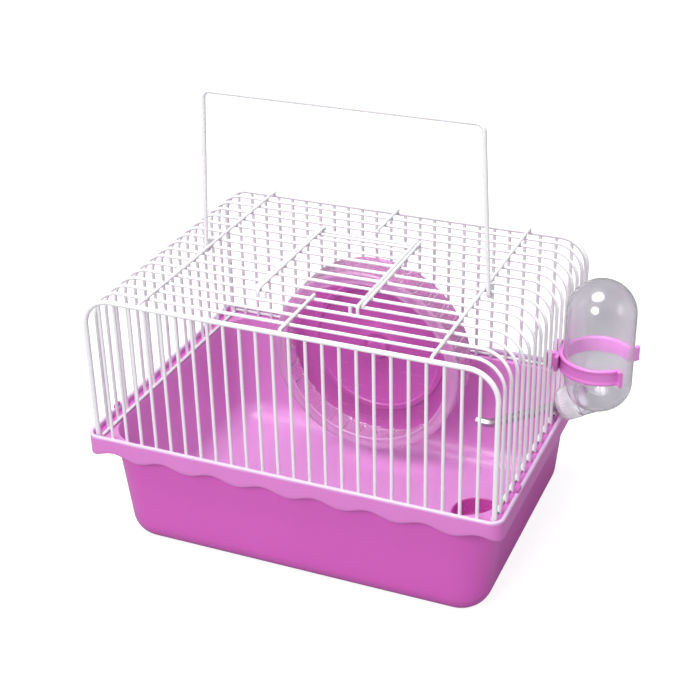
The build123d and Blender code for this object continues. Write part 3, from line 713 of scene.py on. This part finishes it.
def painted_light_amounts(rows, y):
    """How much painted light each point gets: skirt * (share + (1 - share) * way) on the border
    with a painted highlight on its top edge, none outside the tub, and painted glare of wall +
    (floor - wall) * depth^2 inside it."""
    _, _, which, z, drop, _ = rows.T
    depth = np.clip((LEDGE_Z - z) / (LEDGE_Z - TRAY_WALL), 0, 1)
    inside = WALL_PAINTED_GLARE + (FLOOR_PAINTED_GLARE - WALL_PAINTED_GLARE) * depth ** 2
    inside[:np.flatnonzero(which > 0)[-1]] = 0
    painted_light = np.repeat(inside[:, None], y.shape[1], axis=1)
    skirt = SKIRT_PAINTED_LIGHT * (SIDE_LIGHT_SHARE + (1 - SIDE_LIGHT_SHARE) * corner_way(y))
    painted_light = np.where(which[:, None] > 0, skirt, painted_light)
    edge = (which > 0) & (drop == 0) & (z > BORDER_TOP - HIGHLIGHT_BAND)
    return np.where(edge[:, None], EDGE_PAINTED_HIGHLIGHT, painted_light)


def make_tray_moulding():
    """The tray as one closed grid of rings. A ring's height is z + drop * (edge + lift - z)."""
    rows = tray_rows()
    tub_in, border_in, which, z, drop, lift = rows.T
    half_x = np.where(which > 0, BORDER_X - border_in, TUB_X - tub_in)
    half_y = np.where(which > 0, BORDER_Y - border_in, TUB_Y - tub_in)
    corner = np.where(which > 0, BORDER_CORNER - border_in, TUB_CORNER - tub_in)
    layout = ring_layout(170, 48, 16)
    x, y = ring_places(layout, half_x, half_y, np.maximum(corner, TIGHTEST))
    z, drop, lift = (v[:, None] for v in (z, drop, lift))
    height = z + drop * (lower_edge(x, y) + lift - z)
    tray = make_piece("tray_moulding", np.stack([x, y, height], axis=-1), TRAY_SHARP)
    # Painted light per point: glare inside the tub, a highlight on the border's top edge and a
    # paler skirt.
    attribute = tray.data.attributes.new("painted_light", "FLOAT", "POINT")
    attribute.data.foreach_set("value", painted_light_amounts(rows, y).ravel())
    return tray


TAB_Y = 60.0 * MM
TAB_HALF_LONG = 3.0 * MM
TAB_HALF_THICK = 0.8 * MM
TAB_RISE = 2.2 * MM
TAB_ROOT = 0.6 * MM         # depth in the border
TAB_ROUND = 0.55 * MM


def make_tabs():
    """The four tabs that stand on the border beside the legs."""
    tabs = []
    x = BORDER_X - TRAY_WALL / 2
    for side in (-1, 1):
        for y in (-TAB_Y, TAB_Y):
            low = (side * x - TAB_HALF_THICK, y - TAB_HALF_LONG, BORDER_TOP - TAB_ROOT)
            high = (side * x + TAB_HALF_THICK, y + TAB_HALF_LONG, BORDER_TOP + TAB_RISE)
            tabs.append(rounded_block("border_tab", low, high, TAB_ROUND))
    return tabs


HOLDER_Z = 123.0 * MM
HOLDER_HALF = 5.0 * MM      # half the band's height
HOLDER_THICK = 2.5 * MM
HOLDER_R = 22.05 * MM       # to the middle of the band
HOLDER_EDGE = 1.0 * MM      # radius of the band's edges
HOLDER_WAIST = 0.55 * MM    # depth of the band's middle under its beads
HOLDER_ENDS = (40.0, 314.0)
HOLDER_FLARE = 4.4 * MM     # length of the tips
TIP_TURN = 0.15             # radians from straight out
HOLDER_ARM = 5.0 * MM       # the plate's reach past the front finger
CLIP_REACH = 9.25 * MM      # the clip's faces, from the bottle's middle
FINGER_INNER = 6.65 * MM
BARB_INNER = 5.75 * MM
PLATE_NEAR = 1.6 * MM       # the clip's faces, outwards from the middle of the legs
PLATE_FAR = 4.0 * MM
FINGER_ROOT = 2.4 * MM
FINGER_TIP = -4.4 * MM
BARB_BACK = -1.05 * MM
BARB_INSET = 0.3 * MM
PLATE_ROUND = 0.9 * MM
FINGER_ROUND = 0.8 * MM


def holder_path():
    """The band's middle line: out along one tip, round the bottle and out along the other tip,
    with its corners eased by averaging each point with its neighbours."""
    step = 0.3 * MM
    first, last = np.radians(HOLDER_ENDS)
    count = int(HOLDER_R * (last - first) / step)
    angle = np.linspace(first, last, count)
    ring = HOLDER_R * np.stack([np.cos(angle), np.sin(angle)], axis=1)
    out = np.arange(HOLDER_FLARE, step / 2, -step)[:, None]
    rear_way = np.array([np.cos(first + TIP_TURN), np.sin(first + TIP_TURN)])
    front_way = np.array([np.cos(last - TIP_TURN), np.sin(last - TIP_TURN)])
    path = np.concatenate([ring[0] + out * rear_way, ring, ring[-1] + out[::-1] * front_way])
    kernel = np.exp(-np.linspace(-2, 2, 9) ** 2)
    kernel /= kernel.sum()
    padded = np.concatenate([2 * path[0] - path[4:0:-1], path, 2 * path[-1] - path[-2:-6:-1]])
    return np.stack([np.convolve(padded[:, i], kernel, "valid") for i in range(2)], axis=1)


def make_holder_band():
    """The band's rounded section, thinner between its two beads, carried along its path:
    p = path + a * normal + b * up."""
    path = holder_path()
    tangent = np.gradient(path, axis=0)
    tangent /= np.linalg.norm(tangent, axis=1)[:, None]
    normal = np.stack([tangent[:, 1], -tangent[:, 0]], axis=1)
    layout = ring_layout(3, 15, 6)
    a, b = ring_places(layout, [HOLDER_THICK / 2], [HOLDER_HALF], [HOLDER_EDGE])
    waist = HOLDER_WAIST * np.clip((0.72 * HOLDER_HALF - np.abs(b)) / (0.25 * HOLDER_HALF), 0, 1)
    a = np.where(a > 0, a - waist, a)
    place = path[:, None, :] + a[0][None, :, None] * normal[:, None, :]
    height = np.repeat(HOLDER_Z + b[:1], len(path), axis=0)
    points = np.concatenate([place + (BOTTLE_X, BOTTLE_Y), height[:, :, None]], axis=-1)
    return make_piece("holder_band", points, BAND_SHARP)


def make_holder_clip():
    """The plate against the legs and the two fingers that grip them."""
    low_z, high_z = HOLDER_Z - HOLDER_HALF, HOLDER_Z + HOLDER_HALF
    blocks = [rounded_block(
        "holder_plate", (HALF_WIDTH + PLATE_NEAR, BOTTLE_Y - CLIP_REACH - HOLDER_ARM, low_z),
        (HALF_WIDTH + PLATE_FAR, BOTTLE_Y + CLIP_REACH, high_z), PLATE_ROUND)]
    for side, name in ((-1, "front"), (1, "rear")):
        outer = BOTTLE_Y + side * CLIP_REACH
        for kind, inner, end, inset in (
                ("finger", FINGER_INNER, FINGER_ROOT, 0.0),
                ("barb", BARB_INNER, BARB_BACK, BARB_INSET)):
            low_y, high_y = sorted((BOTTLE_Y + side * inner, outer))
            blocks.append(rounded_block(
                f"holder_{kind}_{name}", (HALF_WIDTH + FINGER_TIP, low_y, low_z + inset),
                (HALF_WIDTH + end, high_y, high_z - inset), FINGER_ROUND))
    return blocks


class CAGE_OT_tray(bpy.types.Operator):
    """Makes the tray, its tabs and the bottle's holder, all in pink plastic"""

    bl_idname = "cage.tray"
    bl_label = "Tray"

    def execute(self, context):
        colours = context.scene.cage_colours
        finish = {
            "rough": 0.28, "spread": 0.14, "cloud": 0.7, "bump": 0.1, "Subsurface_Weight": 0.12,
            "Subsurface_Scale": 0.006, "Coat_Weight": 0.15, "Coat_Roughness": 0.16}
        pink = shader_material(
            "pink_moulding", tuple(colours.tray), tuple(colours.tray_shade), **finish)
        # Paints light on the tray: glare inside the tub and a highlight on the border's top edge.
        add_painted_light(pink, colours.painted_light_colour)
        holder = shader_material(
            "pink_holder", tuple(colours.holder), tuple(v * 0.9 for v in colours.holder), **finish)
        dress(pink, "wheel_bracket", "wing_nut")
        finish_piece(make_tray_moulding(), "tray", "tray_plastic", pink, "tray")
        for tab in make_tabs():
            finish_piece(tab, "tray", "tray_plastic", pink)
        finish_piece(make_holder_band(), "wire_top", "tray_plastic", holder, "bottle_holder")
        for block in make_holder_clip():
            finish_piece(block, "wire_top", "tray_plastic", holder)
        return {"FINISHED"}


# --- wheel ------------------------------------------------------------------------------
WHEEL_R = 63.0 * MM
WHEEL_FRONT = 29.0 * MM
SHOULDER = 1.6 * MM
LIP_R = 55.0 * MM
LIP_BEAD = 0.9 * MM
RIM_ROUND = 0.98 * MM       # of the back disc
WHEEL_WALL = 1.8 * MM
TREADS = 36
TREAD_RISE = 1.0 * MM
TREAD_START = 33.2 * MM
# The lip's own translucent pink, made paler than the drum's as a painted highlight for its bright
# edges.
LIP_HIGHLIGHT_PINK = (0.94, 0.62, 0.90)
LIP_HIGHLIGHT_SHADE = (0.88, 0.54, 0.84)
STEEL = (0.60, 0.55, 0.60)
STEEL_SHADE = (0.48, 0.43, 0.48)
WHEEL_PLACE = ((0, 0, AXLE_Z), (0, 1, 0), (0, 0, 1))    # origin, axis and side


def tread_ripple(t, radius, y):
    """Treads raised inwards: -rise * clip((cos(36 t) - 0.62) / 0.2, 0, 1) on the inner wall."""
    bump = np.clip((np.cos(TREADS * t) - 0.62) / 0.2, 0, 1)
    inner = radius < WHEEL_R - 0.9 * WHEEL_WALL
    along = np.clip((y - TREAD_START) / (0.6 * MM), 0, 1)
    return -TREAD_RISE * bump * along * inner


def make_drum():
    """The drum's wall with its treads: a closed profile of (radius, y), turned."""
    inner = WHEEL_R - WHEEL_WALL
    y = np.concatenate([[30.9, 33.2, 33.6, 34.2], np.linspace(37, 52.9, 6)]) * MM
    wall = np.stack([np.full(y.size, inner), y], axis=1)
    outside = np.stack([np.full(6, WHEEL_R), np.linspace(52.9, 30.9, 6) * MM], axis=1)
    profile = np.concatenate([outside, wall])
    return turned_piece("wheel_drum_shell", profile, WHEEL_PLACE, TREADS * 12, tread_ripple)


def make_lip():
    """The drum's front ring, with a rounded shoulder and a bead round its opening: a closed
    profile of (radius, y), turned."""
    inner = WHEEL_R - WHEEL_WALL
    shoulder = arc(WHEEL_R - SHOULDER, WHEEL_FRONT + SHOULDER, SHOULDER, 0, -90, 7)
    face = np.array([(59.6, 29.0), (59.0, 29.35), (57.2, 29.35)]) * MM
    bead = arc(LIP_R + LIP_BEAD, WHEEL_FRONT + LIP_BEAD, LIP_BEAD, -60, -300, 12)
    back = np.array([(57.2, 30.5), (59.6, 30.5)]) * MM
    corner = np.array([(inner, 30.85 * MM), (WHEEL_R, 30.85 * MM)])
    profile = np.concatenate([shoulder, face, bead, back, corner])
    return turned_piece("wheel_lip", profile, WHEEL_PLACE, 288)


def make_back_disc():
    """Back disc with two raised rings, a rounded rim and its hub: a closed profile of
    (radius, y), turned."""
    bore, face, back = 2.6, 53.02, 55.0     # millimetres, as in the profiles
    front = np.array([
        (bore, face), (9.0, face), (9.6, 52.6), (10.8, 52.6), (11.4, face), (24.0, face),
        (41.4, face), (41.8, 52.8), (42.1, 52.1), (42.5, 51.8), (45.5, 51.8), (45.9, 52.1),
        (46.2, 52.8), (46.6, face), (58.0, face), (61.2, face),
    ]) * MM
    rim = arc(WHEEL_R - RIM_ROUND, 54.01 * MM, RIM_ROUND, -90, 90, 9)
    rear = np.array([
        (52.0, back), (51.2, 54.7), (42.8, 54.7), (42.0, back), (10.0, back), (8.6, 55.4),
        (8.0, 56.2), (8.0, 63.0), (7.7, 63.7), (7.0, 64.0), (bore, 64.0),
    ]) * MM
    return turned_piece("wheel_back_disc", np.concatenate([front, rim, rear]), WHEEL_PLACE, 192)


def make_hub_cover():
    """A thin domed cover over the axle's head, hollow behind: a profile of (radius, y), turned."""
    outer = np.array([(0.3, 49.5), (4.6, 49.5), (5.8, 49.7), (6.6, 50.3), (7.0, 51.3)]) * MM
    foot = np.array([(7.1, 52.7), (7.4, 53.1), (6.2, 53.1)]) * MM
    inner = np.array([(6.1, 51.4), (5.8, 50.5), (4.8, 50.12), (0.3, 50.1)]) * MM
    profile = np.concatenate([outer, foot, inner])
    return turned_piece("wheel_hub_cover", profile, WHEEL_PLACE, 64, loop=False)


class CAGE_OT_wheel(bpy.types.Operator):
    """Makes the wheel's see-through drum and its back, and polishes its axle"""

    bl_idname = "cage.wheel"
    bl_label = "Wheel"

    def execute(self, context):
        colour = tuple(context.scene.cage_colours.wheel)
        shade = tuple(v * 0.8 for v in colour)
        clear = tuple(context.scene.cage_colours.drum)
        drum = shader_material(
            "wheel_translucent", clear, tuple(v * 0.9 for v in clear), rough=0.1, spread=0.08,
            cloud=0.5, bump=0.08, Transmission_Weight=0.85, IOR=1.45)
        back = shader_material(
            "wheel_back_pink", colour, shade, rough=0.2, spread=0.1, cloud=0.6, bump=0.08,
            Subsurface_Weight=0.1, Subsurface_Scale=0.004)
        steel = shader_material(
            "bright_steel", STEEL, STEEL_SHADE, rough=0.30, spread=0.15, cloud=0.6, bump=0.05,
            scale=3.0, Metallic=1.0)
        # The lip's plastic, paler than the drum's as a painted highlight on its edges.
        lip = shader_material(
            "wheel_lip_highlight_pink", LIP_HIGHLIGHT_PINK, LIP_HIGHLIGHT_SHADE, rough=0.12, spread=0.1, cloud=0.5, bump=0.06,
            Transmission_Weight=0.6, IOR=1.4, Coat_Weight=0.3)
        shell = finish_piece(make_drum(), "wheel", "wheel_plastic", drum, "wheel_drum")
        shell.visible_shadow = False
        finish_piece(make_lip(), "wheel", "wheel_plastic", lip)
        finish_piece(make_back_disc(), "wheel", "wheel_back_plastic", back, "wheel_back")
        finish_piece(make_hub_cover(), "wheel", "wheel_back_plastic", back)
        dress(steel, *STEEL_NODES)
        return {"FINISHED"}


# --- bottle -----------------------------------------------------------------------------
CAP_FRONT = (128.9 * MM, BOTTLE_Y, 88.0 * MM)
CAP_R = 10.3 * MM
CAP_ROUND = 4.5 * MM
CAP_RIBS = 40
RIB_DEPTH = 0.22 * MM
RIBS_FROM = 4.8 * MM        # behind the cap's front
RIBS_TO = 12.2 * MM
SEAL = (0.84, 0.66, 0.80)
SEAL_SHADE = (0.78, 0.60, 0.74)
FROST = (0.96, 0.96, 0.98)
FROST_SHADE = (0.90, 0.89, 0.92)


def cap_ripple(t, radius, along):
    """Shallow grip ribs: -depth * (1 + cos(40 t)) / 2 on the cap's straight outside."""
    outside = radius > CAP_R - 0.02 * MM
    band = np.clip((-along - RIBS_FROM) / MM, 0, 1) * np.clip((along + RIBS_TO) / MM, 0, 1)
    return -RIB_DEPTH * (1 + np.cos(CAP_RIBS * t)) / 2 * outside * band


def make_cap():
    """The screw cap: a closed profile of its front, its ribbed side and its room for the neck,
    turned about the tilted axis of the spout."""
    hole = 3.02                             # millimetres, as in the profiles
    front = np.array([(hole, 0.0), (4.2, 0.0)]) * MM
    edge = arc(CAP_R - CAP_ROUND, -CAP_ROUND, CAP_ROUND, 90, 0, 12)
    side = np.stack([np.full(9, CAP_R), np.linspace(-4.9, -12.0, 9) * MM], axis=1)
    rear = np.array([(10.1, -12.35), (9.8, -12.5), (8.7, -12.5), (8.4, -12.2)]) * MM
    room = np.array([(8.4, -8.0), (8.4, -3.3), (8.1, -3.0), (3.6, -3.0), (hole, -3.0)]) * MM
    profile = np.concatenate([front, edge, side, rear, room])
    place = (CAP_FRONT, (-math.cos(TILT), 0, -math.sin(TILT)), (0, 1, 0))
    return turned_piece("screw_cap", profile, place, CAP_RIBS * 8, cap_ripple)


class CAGE_OT_bottle(bpy.types.Operator):
    """Makes the ribbed cap and gives the bottle its clear plastic"""

    bl_idname = "cage.bottle"
    bl_label = "Bottle"

    def execute(self, context):
        colour = tuple(context.scene.cage_colours.bottle)
        clear = shader_material(
            "clear_bottle", colour, tuple(v * 0.93 for v in colour), rough=0.06, spread=0.1,
            cloud=0.8, bump=0.15, Transmission_Weight=0.98, IOR=1.49)
        seal = shader_material(
            "seal_rubber", SEAL, SEAL_SHADE, rough=0.6, spread=0.1, cloud=0.6)
        dress(clear, "bottle_body")
        frosted = shader_material(
            "frosted_cap", FROST, FROST_SHADE, rough=0.14, spread=0.1, cloud=0.5, bump=0.05,
            Transmission_Weight=0.65, IOR=1.25)
        cap = finish_piece(make_cap(), "bottle", "clear_plastic", frosted, "bottle_cap")
        for glass in (cap, NODES["bottle_body"]):
            glass.visible_shadow = False
        dress(seal, "cap_seal")
        return {"FINISHED"}


# --- bowl -------------------------------------------------------------------------------
BOWL_PLACE = ((86.0 * MM, 3.5 * MM, 2.5 * MM), (0, 0, 1), (1, 0, 0))    # origin, axis and side


def make_bowl():
    """Foot, flared wall, rolled rim and dished inside: a profile of (radius, z), turned."""
    foot = np.array([(11.5, 0.45), (12.3, 0.3), (12.8, 0.0), (13.8, 0.0)]) * MM
    heel = arc(13.8 * MM, 0.7 * MM, 0.7 * MM, -80, 0, 5)
    wall = np.stack([np.linspace(14.7, 16.0, 6), np.linspace(1.6, 10.6, 6)], axis=1) * MM
    rim = arc(16.05 * MM, 11.25 * MM, 0.75 * MM, -20, 200, 12)
    inner = np.stack([np.linspace(15.1, 13.3, 6), np.linspace(10.4, 3.4, 6)], axis=1) * MM
    dish = arc(11.4 * MM, 3.6 * MM, 1.9 * MM, -5, -90, 6)
    floor = np.array([(8.0, 1.7), (4.0, 1.8)]) * MM
    profile = np.concatenate([foot, heel, wall, rim, inner, dish, floor])
    return turned_piece("food_bowl_shell", profile, BOWL_PLACE, 96, loop=False)


class CAGE_OT_bowl(bpy.types.Operator):
    """Makes the food bowl in hot pink plastic"""

    bl_idname = "cage.bowl"
    bl_label = "Food Bowl"

    def execute(self, context):
        colour = tuple(context.scene.cage_colours.bowl)
        pink = shader_material(
            "bowl_pink", colour, tuple(v * 0.8 for v in colour), rough=0.2, spread=0.12, cloud=0.6)
        finish_piece(make_bowl(), "bowl", "bowl_plastic", pink, "food_bowl")
        return {"FINISHED"}


class CAGE_PT_panel(bpy.types.Panel):
    """Lists the cage's pieces, sizes and colours"""

    bl_idname = "CAGE_PT_panel"
    bl_label = "Hamster Cage"
    bl_space_type = "VIEW_3D"
    bl_region_type = "UI"
    bl_category = "Cage"

    def draw(self, context):
        for operator in OPERATORS:
            self.layout.operator(operator.bl_idname)
        for group in (context.scene.cage_sizes, context.scene.cage_colours):
            for name in group.__annotations__:
                self.layout.prop(group, name)


OPERATORS = (
    CAGE_OT_stage, CAGE_OT_wires, CAGE_OT_tray, CAGE_OT_wheel, CAGE_OT_bottle, CAGE_OT_bowl,
)
CLASSES = (CageColours, CageSizes, *OPERATORS, CAGE_PT_panel)


def register():
    """Adds the operators, the panel and the settings."""
    for item in CLASSES:
        bpy.utils.register_class(item)
    bpy.types.Scene.cage_colours = PointerProperty(type=CageColours)
    bpy.types.Scene.cage_sizes = PointerProperty(type=CageSizes)


def unregister():
    """Takes the settings, the panel and the operators away."""
    del bpy.types.Scene.cage_sizes
    del bpy.types.Scene.cage_colours
    for item in reversed(CLASSES):
        bpy.utils.unregister_class(item)


def main():
    """Makes the whole cage."""
    register()
    bpy.ops.cage.stage()
    bpy.ops.cage.wires()
    bpy.ops.cage.tray()
    bpy.ops.cage.wheel()
    bpy.ops.cage.bottle()
    bpy.ops.cage.bowl()


if __name__ == "__main__":
    main()
